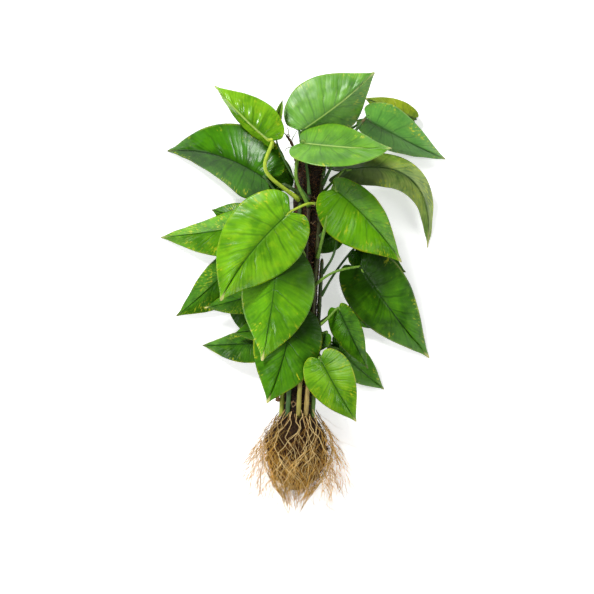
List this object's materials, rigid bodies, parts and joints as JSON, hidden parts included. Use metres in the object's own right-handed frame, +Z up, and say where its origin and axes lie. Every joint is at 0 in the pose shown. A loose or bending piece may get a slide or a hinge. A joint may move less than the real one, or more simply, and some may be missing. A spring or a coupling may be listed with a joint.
{
  "type": "bare-root pothos plant on a coir pole",
  "caption": "Climbing pothos plant with heart-shaped leaves on a dark coir pole, its roots bare, lying on its back on a surface.",
  "frame": {"origin": "bottom centre of the plant's box as it lies on its back, on the surface that it rests on", "axes": "+Y along the pole from the roots to the crown, +Z up from the surface through the plant's front, +X to the right seen from the front"},
  "size_m": [0.392, 0.5988, 0.1403],
  "materials": {
    "leaf": "glossy green leaf, lighter veins, yellow flecks",
    "vine": "smooth green stem with brown nodes",
    "root": "matt tan fibrous root",
    "coir": "matt dark brown matted fibre",
    "stake": "sawn wood"
  },
  "bodies": {
    "root": {"coir_pole": "coir", "pole_stake": "stake", "vine_left": "vine", "vine_front_left": "vine", "vine_front": "vine", "vine_right": "vine", "vine_side": "vine", "root_ball": "root", "leaf_crown_upright": "leaf", "leaf_crown_front": "leaf", "leaf_crown_folded": "leaf", "leaf_unfurling": "leaf", "leaf_upper_left": "leaf", "leaf_upper_back": "leaf", "leaf_upper_right": "leaf", "leaf_upper_right_back": "leaf", "leaf_arched_right": "leaf", "leaf_front_left": "leaf", "leaf_front_right": "leaf", "leaf_front_centre": "leaf", "leaf_mid_left": "leaf", "leaf_mid_left_back": "leaf", "leaf_mid_right": "leaf", "leaf_mid_right_back": "leaf", "leaf_behind_pole": "leaf", "leaf_edge_on": "leaf", "leaf_low_left": "leaf", "leaf_low_left_inner": "leaf", "leaf_low_left_back": "leaf", "leaf_front_low": "leaf", "leaf_low_right": "leaf", "leaf_low_right_back": "leaf", "leaf_foot_left": "leaf", "leaf_foot_left_inner": "leaf", "leaf_foot_front": "leaf", "leaf_foot_inner": "leaf", "leaf_foot_right": "leaf", "leaf_foot_right_back": "leaf"}
  },
  "joints": []
}
